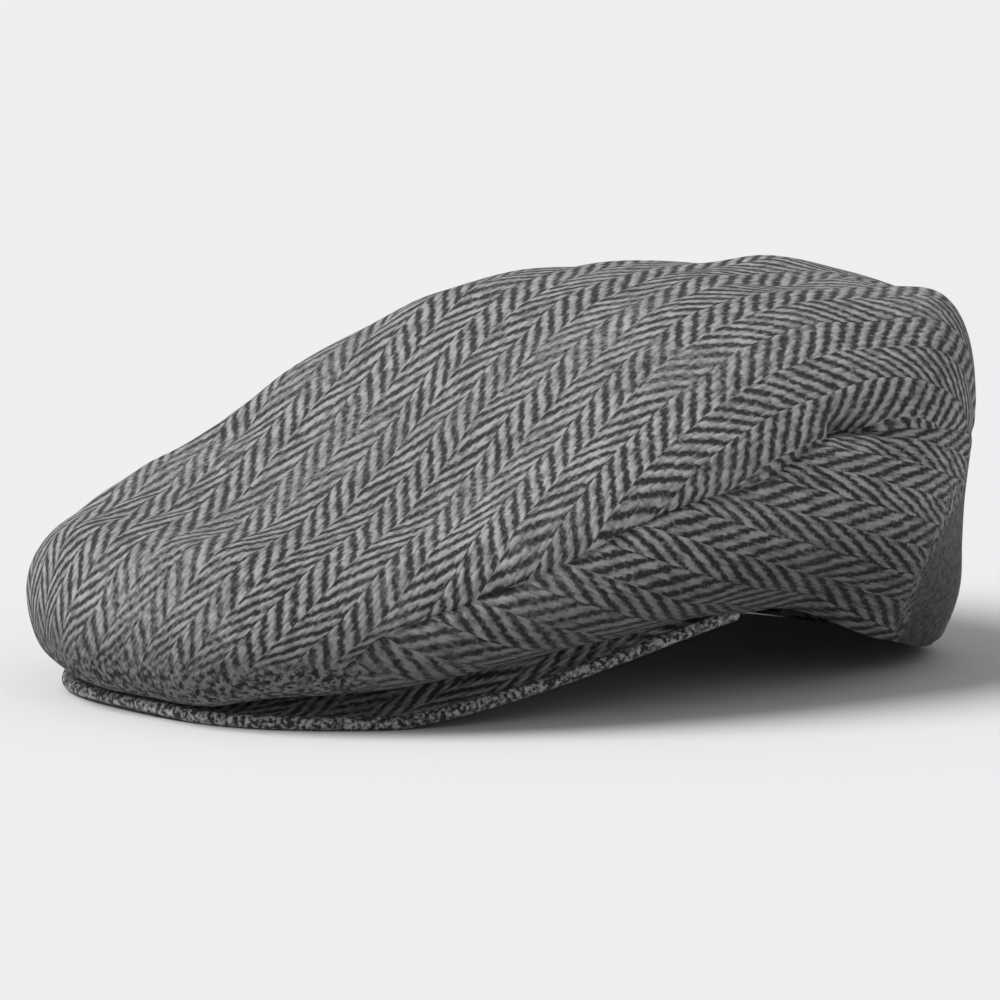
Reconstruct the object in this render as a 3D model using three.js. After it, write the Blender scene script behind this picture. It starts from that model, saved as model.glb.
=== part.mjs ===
// A flat cap of herringbone tweed, lying on a table as it would by itself.
// Millimetres, +Z up, the peak towards -Y and the wearer's left towards +X.
// The shape is worked out around the centre of the head, and the finished group is then moved
// so that its origin is the middle of its footprint on the table.
import * as THREE from 'three';
import { mergeVertices } from 'three/addons/utils/BufferGeometryUtils.js';

// Driving dimensions
const HALF_WIDTH = 102;
const FRONT_REACH = 155;
const BACK_REACH = 102;
const CROWN_HEIGHT = 105;
const CLOTH = 2.4;
const GAP = 0.45;

// The peak: how far the crown overhangs its outer edge at the front and at the sides, and the
// room that it leaves inside the head line
const PEAK_SETBACK = 8;
const PEAK_SIDE_SETBACK = 18;
const PEAK_SQUARENESS = 2.55;
const PEAK_THICKNESS = 3.2;
const PEAK_INSET = 3.5;
const PEAK_END_ANGLE = 85;
const PEAK_FLARE = 1.45;

// How high the peak's edge stands off the table: arched in the middle, then level, and then
// rising towards a point a little over the head line at the side
const PEAK_LEVEL_ANGLE = 42;
const PEAK_ARCH = 2;
const PEAK_END_LIFT = 1.2;
const PEAK_RISE_POWER = 1.8;

// How far the cloth is pressed flat where it lies on the table
const PRESSED = 1.2;

// Angles are degrees around the head: 0 at the front, 90 at the wearer's left, 180 at the back
const STATION_ANGLES = [0, 45, 90, 112, 135, 180];
const SIDE_STATION = STATION_ANGLES.indexOf(90);

// The crown is drawn through rings, from the edge around the head, under the front roll and
// over the brow, up to the top. side, front and back are shares of HALF_WIDTH, FRONT_REACH and
// BACK_REACH. heights are shares of CROWN_HEIGHT, one for each station angle. squareFront and
// squareBack say how boxy the plan is: 2 is an ellipse.
const RINGS = [
  { name: 'head line', side: 0.82, front: 0.61, back: 0.99, squareFront: 2.1, squareBack: 2.2,
    heights: [0.26, 0.285, 0.217, 0.1, 0.042, 0.002] },
  { name: 'tuck', side: 0.86, front: 0.9, back: 1, squareFront: 2.5, squareBack: 2.2,
    heights: [0.065, 0.12, 0.255, 0.16, 0.085, 0.05] },
  { name: 'roll', side: 0.96, front: 0.98, back: 1, squareFront: 2.5, squareBack: 2.2,
    heights: [0.1, 0.165, 0.335, 0.28, 0.21, 0.17] },
  { name: 'brow', side: 1, front: 1, back: 0.98, squareFront: 2.5, squareBack: 2.2,
    heights: [0.25, 0.28, 0.495, 0.485, 0.44, 0.4] },
  { name: 'upper side', side: 0.97, front: 0.94, back: 0.97, squareFront: 2.5, squareBack: 2.5,
    heights: [0.42, 0.41, 0.66, 0.7, 0.705, 0.665] },
  { name: 'shoulder', side: 0.79, front: 0.735, back: 0.91, squareFront: 2.3, squareBack: 2.9,
    heights: [0.475, 0.533, 0.853, 0.918, 0.95, 0.925] },
  { name: 'top', side: 0.44, front: 0.39, back: 0.61, squareFront: 2.2, squareBack: 2.2,
    heights: [0.68, 0.765, 0.955, 0.98, 0.985, 0.985] },
];
const POLE = { back: 0.08, height: 0.985 };
const TOP_LEVEL = RINGS.length;

// The seam between the top panel and the side panels. level counts the rings that it passes:
// it starts at the head line by the front corner, climbs over the roll and runs to the back.
const SEAM = [
  { angle: 34, level: 0 },
  { angle: 38, level: 2.1 },
  { angle: 46, level: 2.9 },
  { angle: 66, level: 3.35 },
  { angle: 90, level: 3.9 },
  { angle: 102, level: 3.95 },
  { angle: 126, level: 3.68 },
  { angle: 180, level: 3.5 },
];
const CORNER_ANGLE = SEAM[0].angle;
const TIP_STEP = 0.1;

// Dents and swellings of the cloth, each along a line between two places on the crown. lift is
// how far the cloth stands out, or in where it is negative, and reach is how far it fades. Both
// are shares of CROWN_HEIGHT.
const FOLDS = [
  { name: 'swelling at the back of the top', fromAngle: 176, fromLevel: 6, toAngle: 169, toLevel: 6,
    lift: 0.048, reach: 0.143 },
  { name: 'valley from the top down to the tuck', fromAngle: 152, fromLevel: 5.35, toAngle: 101,
    toLevel: 4.85, lift: -0.029, reach: 0.105 },
  { name: 'tuck on the seam', fromAngle: 93, fromLevel: 4.05, toAngle: 100, toLevel: 3.95,
    lift: -0.048, reach: 0.057 },
  { name: 'dent under the seam', fromAngle: 101, fromLevel: 3.45, toAngle: 103, toLevel: 3.4,
    lift: -0.019, reach: 0.057 },
  { name: 'hollow at the right front', fromAngle: -72, fromLevel: 4.5, toAngle: -63, toLevel: 4.3,
    lift: -0.025, reach: 0.095 },
];

// Where the columns of the mesh are close together: at the front corner and by the tuck
const COLUMN_STEPS = [
  { from: 0, step: 6 },
  { from: 30, step: 2 },
  { from: 34, step: 0.5 },
  { from: 38, step: 1 },
  { from: 40, step: 4 },
  { from: 84, step: 3 },
  { from: 111, step: 6 },
];
// Rows of the top panel: from its edge up to a level above the whole seam, and from there on
const EVEN_LEVEL = 5;
const LOWER_ROWS = 10;
const UPPER_ROWS = 5;
const SIDE_ROWS = 8;
const PEAK_COLUMNS = 36;
const PEAK_ROWS = 4;
const PEAK_ROLL_ROWS = 2;

const TWEED = { color: 0x5b5b5b, roughness: 0.95, metalness: 0 };

// The value at a place on the smooth curve through a row of values. It is level at its end,
// and at its start unless it is given another slope.
function smoothValue(places, values, place, startSlope = 0) {
  const last = places.length - 1;
  const row = Math.min(places.findLastIndex((start) => start <= place), last - 1);
  const slope = (index) => {
    if (index === 0) return startSlope;
    if (index === last) return 0;
    return (values[index + 1] - values[index - 1]) / (places[index + 1] - places[index - 1]);
  };
  const span = places[row + 1] - places[row];
  const share = (place - places[row]) / span;
  const blend = share * share * (3 - 2 * share);
  const bend = slope(row) * share * (1 - share) ** 2 - slope(row + 1) * share ** 2 * (1 - share);
  return values[row] + (values[row + 1] - values[row]) * blend + bend * span;
}

// A rounded box outline in plan, as a superellipse
function planPoint(angle, { side, front, back, squareFront, squareBack }) {
  const across = Math.sin(THREE.MathUtils.degToRad(angle));
  const along = Math.cos(THREE.MathUtils.degToRad(angle));
  const ahead = along > 0;
  const power = 2 / (ahead ? squareFront : squareBack);
  const x = side * Math.sign(across) * Math.abs(across) ** power;
  const y = (ahead ? -front : back) * Math.abs(along) ** power;
  return new THREE.Vector2(x, y);
}

function foldedAngle(angle) {
  const turned = Math.abs(angle) % 360;
  return turned > 180 ? 360 - turned : turned;
}

function ringPoint(ring, angle) {
  const plan = planPoint(angle, {
    ...ring,
    side: ring.side * HALF_WIDTH,
    front: ring.front * FRONT_REACH,
    back: ring.back * BACK_REACH,
  });
  const height = smoothValue(STATION_ANGLES, ring.heights, foldedAngle(angle));
  return new THREE.Vector3(plan.x, plan.y, height * CROWN_HEIGHT);
}

// One curve over the crown from the head line to the middle of the top, at one angle
const meridians = new Map();
function meridian(angle) {
  if (!meridians.has(angle)) {
    const points = RINGS.map((ring) => ringPoint(ring, angle));
    points.push(new THREE.Vector3(0, POLE.back * BACK_REACH, POLE.height * CROWN_HEIGHT));
    points.push(ringPoint(RINGS.at(-1), angle + 180));
    meridians.set(angle, new THREE.CatmullRomCurve3(points, false, 'centripetal'));
  }
  return meridians.get(angle);
}

function smoothPoint(angle, level) {
  return meridian(angle).getPoint(level / (TOP_LEVEL + 1));
}

function normalAt(angle, level) {
  if (level >= TOP_LEVEL) return new THREE.Vector3(0, 0, 1);
  const step = 0.02;
  const around = smoothPoint(angle + step * 10, level).sub(smoothPoint(angle - step * 10, level));
  const upward = smoothPoint(angle, level + step).sub(smoothPoint(angle, Math.max(level - step, 0)));
  return around.cross(upward).normalize();
}

const foldLines = FOLDS.map((fold) => ({
  ...fold,
  line: new THREE.Line3(
    smoothPoint(fold.fromAngle, fold.fromLevel),
    smoothPoint(fold.toAngle, fold.toLevel),
  ),
}));

function foldLift(point) {
  const nearest = new THREE.Vector3();
  return foldLines.reduce((lift, fold) => {
    fold.line.closestPointToPoint(point, true, nearest);
    const distance = nearest.distanceTo(point) / (fold.reach * CROWN_HEIGHT);
    return lift + fold.lift * CROWN_HEIGHT * Math.exp(-(distance ** 2));
  }, 0);
}

function pressed(point) {
  point.z = Math.max(point.z - PRESSED, 0);
  return point;
}

// A point of the crown's cloth: depth 0 is its outer face, CLOTH its inner face
function crownPoint(angle, level, depth) {
  const point = smoothPoint(angle, level);
  const out = foldLift(point) - depth;
  return pressed(point.addScaledVector(normalAt(angle, level), out));
}

function seamLevel(angle) {
  const angles = SEAM.map((row) => row.angle);
  const levels = SEAM.map((row) => row.level);
  const startSlope = (levels[1] - levels[0]) / (angles[1] - angles[0]);
  return smoothValue(angles, levels, Math.max(foldedAngle(angle), CORNER_ANGLE), startSlope);
}

// A point beside the seam, moved along the cloth: towards the top panel where shift is positive
function seamPoint(angle, depth, shift) {
  const step = 0.2;
  const level = seamLevel(angle);
  const ahead = smoothPoint(angle + step, seamLevel(angle + step));
  const behind = smoothPoint(angle - step, seamLevel(angle - step));
  const towardsTop = normalAt(angle, level).cross(ahead.sub(behind)).normalize();
  return crownPoint(angle, level, depth).addScaledVector(towardsTop, shift);
}

function halfColumns() {
  const angles = [];
  let angle = 0;
  while (angle < 180) {
    angles.push(angle);
    angle += COLUMN_STEPS.findLast((row) => row.from <= angle).step;
  }
  return [...angles, 180];
}

// A closed skin over two facing grids of points, given as columns of rows. ring says that the
// last column meets the first.
function shellGeometry(front, back, ring = false) {
  const positions = [];
  const triangle = (a, b, c) => {
    if (a.equals(b) || b.equals(c) || c.equals(a)) return;
    positions.push(...a.toArray(), ...b.toArray(), ...c.toArray());
  };
  const quad = (a, b, c, d) => {
    if (a.distanceToSquared(c) <= b.distanceToSquared(d)) {
      triangle(a, b, c);
      triangle(a, c, d);
    } else {
      triangle(a, b, d);
      triangle(b, c, d);
    }
  };
  const rows = front[0].length - 1;
  const spans = ring ? front.length : front.length - 1;
  for (let column = 0; column < spans; column += 1) {
    const next = (column + 1) % front.length;
    for (let row = 0; row < rows; row += 1) {
      quad(front[column][row], front[next][row], front[next][row + 1], front[column][row + 1]);
      quad(back[column][row], back[column][row + 1], back[next][row + 1], back[next][row]);
    }
    quad(front[column][0], back[column][0], back[next][0], front[next][0]);
    quad(front[column][rows], front[next][rows], back[next][rows], back[column][rows]);
  }
  if (!ring) {
    const last = front.length - 1;
    for (let row = 0; row < rows; row += 1) {
      quad(front[0][row], front[0][row + 1], back[0][row + 1], back[0][row]);
      quad(front[last][row], back[last][row], back[last][row + 1], front[last][row + 1]);
    }
  }
  const geometry = new THREE.BufferGeometry();
  geometry.setAttribute('position', new THREE.Float32BufferAttribute(positions, 3));
  const merged = mergeVertices(geometry, 1e-4);
  merged.computeVertexNormals();
  return merged;
}

function clothMesh(name, geometry) {
  const mesh = new THREE.Mesh(geometry, new THREE.MeshStandardMaterial(TWEED));
  mesh.name = name;
  return mesh;
}

function topPanelLevel(low, row) {
  if (row <= LOWER_ROWS) return low + (EVEN_LEVEL - low) * (row / LOWER_ROWS);
  return EVEN_LEVEL + (TOP_LEVEL - EVEN_LEVEL) * ((row - LOWER_ROWS) / UPPER_ROWS);
}

// The top panel: the whole top, with the front rolled under onto the peak as far as the head line
function topPanel() {
  const half = halfColumns();
  const angles = [...half.slice(1, -1).map((angle) => -angle).reverse(), ...half];
  const face = (depth) => {
    const pole = crownPoint(0, TOP_LEVEL, depth);
    return angles.map((angle) => {
      const seamed = foldedAngle(angle) >= CORNER_ANGLE;
      const low = seamed ? seamLevel(angle) : 0;
      const column = [seamed ? seamPoint(angle, depth, GAP / 2) : crownPoint(angle, 0, depth)];
      for (let row = 1; row < LOWER_ROWS + UPPER_ROWS; row += 1) {
        column.push(crownPoint(angle, topPanelLevel(low, row), depth));
      }
      return [...column, pole];
    });
  };
  return clothMesh('crown_top', shellGeometry(face(0), face(CLOTH), true));
}

// A side panel: from its tip at the front corner, around the ear, to the middle of the back
function sidePanel(name, hand) {
  const spread = halfColumns().filter((angle) => angle > CORNER_ANGLE);
  const angles = [CORNER_ANGLE + TIP_STEP, ...spread].map((angle) => angle * hand);
  if (hand < 0) angles.reverse();
  const face = (depth) => angles.map((angle) => {
    const column = [];
    for (let row = 0; row < SIDE_ROWS; row += 1) {
      column.push(crownPoint(angle, seamLevel(angle) * (row / SIDE_ROWS), depth));
    }
    column.push(seamPoint(angle, depth, -GAP / 2));
    const clearance = foldedAngle(angle) === 180 ? (hand * GAP) / 2 : 0;
    return column.map((point) => point.setX(point.x + clearance));
  });
  return clothMesh(name, shellGeometry(face(0), face(CLOTH)));
}

// The middle of the peak's thickness at its outer edge
function peakEdge(angle) {
  const turned = foldedAngle(angle);
  const inside = PEAK_THICKNESS / 2;
  const plan = planPoint(angle, {
    side: HALF_WIDTH - PEAK_SIDE_SETBACK - inside,
    front: FRONT_REACH - PEAK_SETBACK - inside,
    squareFront: PEAK_SQUARENESS,
  });
  const arch = PEAK_ARCH * Math.cos((Math.min(turned / PEAK_LEVEL_ANGLE, 1) * Math.PI) / 2) ** 2;
  const climbed = Math.max(turned - PEAK_LEVEL_ANGLE, 0) / (90 - PEAK_LEVEL_ANGLE);
  const rise = RINGS[0].heights[SIDE_STATION] * CROWN_HEIGHT + PEAK_END_LIFT;
  return new THREE.Vector3(plan.x, plan.y, arch + rise * climbed ** PEAK_RISE_POWER + inside);
}

// The middle of its thickness at the head line, straight behind a point of its outer edge
function peakRoot(edge) {
  const [headLine] = RINGS;
  const side = headLine.side * HALF_WIDTH - PEAK_INSET;
  const front = headLine.front * FRONT_REACH - PEAK_INSET;
  const slope = (Math.abs(edge.x) * front) / (Math.abs(edge.y) * side);
  const angle = THREE.MathUtils.radToDeg(Math.atan(slope ** (headLine.squareFront / 2)));
  const plan = planPoint(angle * Math.sign(edge.x), { ...headLine, side, front });
  const rim = smoothValue(STATION_ANGLES, headLine.heights, angle) * CROWN_HEIGHT;
  return new THREE.Vector3(plan.x, plan.y, rim - 2 * GAP - PEAK_THICKNESS / 2);
}

function peakMiddle(angle, share) {
  const edge = peakEdge(angle);
  const root = peakRoot(edge);
  const point = root.clone().lerp(edge, share);
  point.z = edge.z + (root.z - edge.z) * (1 - share) ** PEAK_FLARE;
  return point;
}

// The peak: a stiff plate from the head line out, level at its edge, with a rolled rim
function peak() {
  const radius = PEAK_THICKNESS / 2;
  const topFace = [];
  const underFace = [];
  for (let column = 0; column <= PEAK_COLUMNS; column += 1) {
    const angle = PEAK_END_ANGLE * ((2 * column) / PEAK_COLUMNS - 1);
    const topColumn = [];
    const underColumn = [];
    const add = (share, turn) => {
      const step = 0.01;
      const near = Math.min(share, 1 - step);
      const outward = peakMiddle(angle, near + step).sub(peakMiddle(angle, near)).normalize();
      const around = peakMiddle(angle + step, share).sub(peakMiddle(angle - step, share));
      const up = outward.clone().cross(around).normalize();
      if (up.z < 0) up.negate();
      const middle = peakMiddle(angle, share).addScaledVector(outward, radius * Math.sin(turn));
      const rise = radius * Math.cos(turn);
      topColumn.push(pressed(middle.clone().addScaledVector(up, rise)));
      underColumn.push(pressed(middle.clone().addScaledVector(up, -rise)));
    };
    for (let row = 0; row <= PEAK_ROWS; row += 1) add(row / PEAK_ROWS, 0);
    for (let row = 1; row < PEAK_ROLL_ROWS; row += 1) add(1, (row / PEAK_ROLL_ROWS) * (Math.PI / 2));
    add(1, Math.PI / 2);
    underColumn[underColumn.length - 1] = topColumn.at(-1);
    topFace.push(topColumn);
    underFace.push(underColumn);
  }
  return clothMesh('peak', shellGeometry(underFace, topFace));
}

const cap = new THREE.Group();
cap.add(topPanel(), sidePanel('side_left', 1), sidePanel('side_right', -1), peak());
const bounds = new THREE.Box3().setFromObject(cap, true);
const middle = bounds.getCenter(new THREE.Vector3());
cap.position.set(-middle.x, -middle.y, -bounds.min.z);

export default cap;
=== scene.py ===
"""Flat cap of grey herringbone tweed, dressed on the frame that the CAD model gives.

The shape is worked out in millimetres round the wearer's head, with the peak towards -Y and the
wearer's left towards +X, and each mesh is then placed in the frame in metres.
"""
import logging
import math
from dataclasses import dataclass, field
from enum import Enum

import bpy
import numpy as np
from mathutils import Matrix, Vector


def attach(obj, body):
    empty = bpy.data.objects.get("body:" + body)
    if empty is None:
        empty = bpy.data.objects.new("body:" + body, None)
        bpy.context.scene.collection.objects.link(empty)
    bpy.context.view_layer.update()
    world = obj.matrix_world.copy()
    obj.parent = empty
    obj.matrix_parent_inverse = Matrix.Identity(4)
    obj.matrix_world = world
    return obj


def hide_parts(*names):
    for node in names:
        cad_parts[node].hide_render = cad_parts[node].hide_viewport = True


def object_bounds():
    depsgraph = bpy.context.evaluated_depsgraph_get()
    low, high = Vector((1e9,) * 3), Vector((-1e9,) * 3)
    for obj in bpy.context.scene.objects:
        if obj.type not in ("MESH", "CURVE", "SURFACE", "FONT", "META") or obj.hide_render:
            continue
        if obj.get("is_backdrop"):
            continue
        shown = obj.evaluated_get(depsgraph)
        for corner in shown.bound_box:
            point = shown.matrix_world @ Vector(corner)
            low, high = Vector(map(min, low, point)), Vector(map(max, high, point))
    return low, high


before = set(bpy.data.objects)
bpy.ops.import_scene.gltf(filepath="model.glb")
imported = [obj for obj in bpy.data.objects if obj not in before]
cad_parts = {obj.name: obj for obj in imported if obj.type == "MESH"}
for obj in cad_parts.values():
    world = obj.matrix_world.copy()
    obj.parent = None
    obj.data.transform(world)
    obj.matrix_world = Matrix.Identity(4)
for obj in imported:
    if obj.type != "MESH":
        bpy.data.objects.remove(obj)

LOG = logging.getLogger("flat_cap")

MILLIMETRE = 0.001
FULL_TURN = 360.0
HALF_TURN = FULL_TURN / 2
QUARTER_TURN = FULL_TURN / 4

# The shortest length that a vector, and the shortest span that a rib, is divided by
NEAR_ZERO = 1e-12
SHORTEST_SPAN = 1e-6

# Driving sizes of the cap, in millimetres
HALF_WIDTH = 102.0
FRONT_REACH = 155.0
BACK_REACH = 102.0
CROWN_HEIGHT = 105.0
CLOTH = 2.4

# How far the cap's weight presses its hem flat on the table, and how far the inner face of the
# pressed cloth stays above the outer one, in millimetres
PRESSED = 1.2
PRESSED_GAP = 0.5

# The level of the head line, and the level of the pole, where every rib of the crown meets
HEAD_LEVEL = 0.0
TOP_LEVEL = 7.0


@dataclass(frozen=True)
class Ring:
    """One ring of the crown: its reach and heights as shares of the cap's own.

    Square tells how square its front and back halves are, 2 for an ellipse. The heights are those
    at STATIONS.
    """

    side: float
    front: float
    back: float
    square_front: float
    square_back: float
    heights: tuple[float, ...]


@dataclass(frozen=True)
class Fold:
    """A soft fold of the cloth along a line between two places of the crown.

    A place is an angle in degrees and a level. Lift and reach are in millimetres.
    """

    start: tuple[float, float]
    end: tuple[float, float]
    lift: float
    reach: float


class Hand(Enum):
    """The side of the wearer that a panel is on."""

    LEFT = 1
    RIGHT = -1


# Degrees from the front at which each ring's heights are given
STATIONS = (0.0, 45.0, QUARTER_TURN, 112.0, 135.0, HALF_TURN)

# The rings from the head line up, and the pole's own shares of the back's reach and the height
RINGS = (
    Ring(0.82, 0.61, 0.99, 2.1, 2.2, (0.26, 0.285, 0.217, 0.1, 0.042, 0.002)),  # head line
    Ring(0.86, 0.9, 1.0, 2.5, 2.2, (0.065, 0.12, 0.255, 0.16, 0.085, 0.05)),  # turn-under
    Ring(0.96, 0.98, 1.0, 2.5, 2.2, (0.1, 0.165, 0.335, 0.28, 0.21, 0.17)),  # roll
    Ring(1.0, 1.0, 0.98, 2.5, 2.2, (0.25, 0.28, 0.495, 0.485, 0.44, 0.4)),  # widest
    Ring(0.97, 0.94, 0.97, 2.5, 2.5, (0.42, 0.41, 0.66, 0.7, 0.705, 0.665)),  # brow
    Ring(0.79, 0.735, 0.91, 2.3, 2.9, (0.475, 0.533, 0.853, 0.918, 0.95, 0.925)),  # shoulder
    Ring(0.44, 0.39, 0.61, 2.2, 2.2, (0.68, 0.765, 0.955, 0.98, 0.985, 0.985)),  # crest
)
POLE_BACK = 0.08
POLE_HEIGHT = 0.985

# The seam between the top and a side, from its corner at the front to the middle of the back
SEAM_ANGLES = (34.0, 38.0, 46.0, 66.0, 75.0, 86.0, 93.0, 99.0, 108.0, 126.0, 180.0)
SEAM_LEVELS = (0.0, 2.1, 2.9, 3.34, 3.57, 3.62, 4.14, 3.95, 3.81, 3.67, 3.5)
CORNER_ANGLE = SEAM_ANGLES[0]

# The degrees between which the seam climbs steeply from its corner
STEEP_SPAN = (30.0, 40.0)

FOLDS = (
    Fold((176.0, 6.0), (169.0, 6.0), 5.0, 15.0),  # swelling at the back
    Fold((152.0, 5.35), (101.0, 4.85), -2.5, 11.0),  # valley on the left of the crest
    Fold((93.0, 4.05), (100.0, 3.95), -4.0, 6.0),  # tuck where the seam pinches the top
    Fold((92.5, 4.16), (98.0, 4.02), -3.2, 2.4),  # sharp crease of that tuck
    Fold((101.0, 3.45), (103.0, 3.4), -2.0, 6.0),  # dent under the tuck
    Fold((-72.0, 4.5), (-63.0, 4.3), -2.6, 10.0),  # hollow at the right front
    Fold((-54.0, 1.9), (-30.0, 1.8), -3.0, 12.0),  # thin place of the roll below that hollow
    Fold((-6.0, 1.5), (14.0, 1.5), 1.3, 12.0),  # sag of the roll onto the peak
)


def smooth_value(places: tuple, values: tuple, place: np.ndarray, start_slope: float = 0.0) -> np.ndarray:
    """Give a smooth value between the stations of a short table.

    Args:
        places: The stations, rising.
        values: The value at each station.
        place: Where the value is wanted.
        start_slope: The slope at the first station. At the last one it is level.

    Returns:
        One value for each place.
    """
    at = np.asarray(places, float)
    given = np.asarray(values, float)
    slopes = np.zeros(len(at))
    slopes[1:-1] = (given[2:] - given[:-2]) / (at[2:] - at[:-2])
    slopes[0] = start_slope
    row = np.clip(np.searchsorted(at, place, side="right") - 1, 0, len(at) - 2)
    span = at[row + 1] - at[row]
    share = (place - at[row]) / span
    rise = (given[row + 1] - given[row]) * share**2 * (3 - 2 * share)
    leave = slopes[row] * share * (1 - share) ** 2
    arrive = slopes[row + 1] * share**2 * (1 - share)
    return given[row] + rise + span * (leave - arrive)


def folded_angle(angle: np.ndarray) -> np.ndarray:
    """Turn an angle round the cap into its distance from the front, from 0 to 180 degrees."""
    turned = np.abs(angle) % FULL_TURN
    return np.where(turned > HALF_TURN, FULL_TURN - turned, turned)


def plan_point(
    angle: np.ndarray, side: float, front: float, back: float, square_front: float, square_back: float
) -> tuple[np.ndarray, np.ndarray]:
    """Give a point of a rounded plan outline.

    Args:
        angle: Degrees from the front, towards the wearer's left.
        side: Half of the outline's width.
        front: How far it reaches ahead of the head's middle.
        back: How far it reaches behind it.
        square_front: How square its front half is, 2 for an ellipse.
        square_back: How square its back half is.

    Returns:
        The point's x and y.
    """
    sine = np.sin(np.radians(angle))
    cosine = np.cos(np.radians(angle))
    power = 2 / np.where(cosine > 0, square_front, square_back)
    x = side * np.sign(sine) * np.abs(sine) ** power
    y = np.where(cosine > 0, -front, back) * np.abs(cosine) ** power
    return x, y


def smooth_step(low: float, high: float, value: np.ndarray) -> np.ndarray:
    """Rise smoothly from 0 at low to 1 at high."""
    share = np.clip((value - low) / (high - low), 0, 1)
    return share**2 * (3 - 2 * share)


def bell(distance: np.ndarray, reach: float) -> np.ndarray:
    """Fall smoothly from 1 at no distance to about a third at the reach."""
    return np.exp(-((distance / reach) ** 2))


def soft_ramp(value: np.ndarray, softness: float) -> np.ndarray:
    """Give zero below zero and the value above it, with a soft bend between."""
    return np.logaddexp(0, value / softness) * softness


def unit(vectors: np.ndarray) -> np.ndarray:
    """Scale each vector to a length of one."""
    return vectors / (np.linalg.norm(vectors, axis=-1, keepdims=True) + NEAR_ZERO)


@dataclass(frozen=True)
class Softness:
    """The small unevenness of cloth that lies on nothing, as a sum of slow waves."""

    waves: int = 26
    shortest: float = 26.0
    longest: float = 85.0
    height: float = 0.55
    seed: int = 11

    def lift(self, points: np.ndarray) -> np.ndarray:
        """Give how far each point stands off the smooth shape, in millimetres."""
        chance = np.random.default_rng(self.seed)
        total = np.zeros(points.shape[:-1])
        for _ in range(self.waves):
            heading = unit(chance.normal(size=3))
            length = chance.uniform(self.shortest, self.longest)
            shift = chance.uniform(0, 2 * math.pi)
            total += np.sin(points @ heading * (2 * math.pi / length) + shift)
        return total * self.height * math.sqrt(2 / self.waves)


@dataclass(frozen=True)
class SeamRelief:
    """How the two cloths turn in at the top seam and pucker beside it.

    The pucker is the sum of two waves. The second is a share of the first in height and in length,
    and its shift keeps the two out of step. The seam fades to the share faded between two angles
    at the back, and over a few degrees at its corner.
    """

    depth: float = 1.5
    width: float = 1.5
    pucker: float = 0.32
    pucker_reach: float = 8.0
    pucker_length: float = 13.0
    second_height: float = 0.6
    second_length: float = 0.61
    second_shift: float = 1.3
    back_fade: tuple[float, float] = (98.0, 114.0)
    faded: float = 0.35
    corner_fade: float = 12.0
    hem_round: float = 1.1
    hem_width: float = 2.2

    def strength(self, angle: np.ndarray) -> np.ndarray:
        """Give how marked the seam is at each angle: it is pressed flat at its corner and its back."""
        turned = folded_angle(angle)
        back = smooth_step(*self.back_fade, turned)
        corner = 1 - smooth_step(CORNER_ANGLE, CORNER_ANGLE + self.corner_fade, turned)
        return 1 - (1 - self.faded) * np.maximum(back, corner)

    def hem(self, distance: np.ndarray) -> np.ndarray:
        """Give the lift that rounds the hem, by millimetres from its border."""
        return -self.hem_round * bell(distance, self.hem_width)

    def lift(self, distance: np.ndarray, along: np.ndarray) -> np.ndarray:
        """Give the cloth's lift beside the seam.

        Args:
            distance: Millimetres from the seam, along the cloth.
            along: Millimetres along the seam.

        Returns:
            The lift in millimetres, below zero in the groove.
        """
        turns = along * (2 * math.pi / self.pucker_length)
        second = np.sin(turns / self.second_length + self.second_shift)
        wave = np.sin(turns) + self.second_height * second
        groove = -self.depth * bell(distance, self.width)
        return groove + self.pucker * wave * bell(distance, self.pucker_reach)


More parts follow.
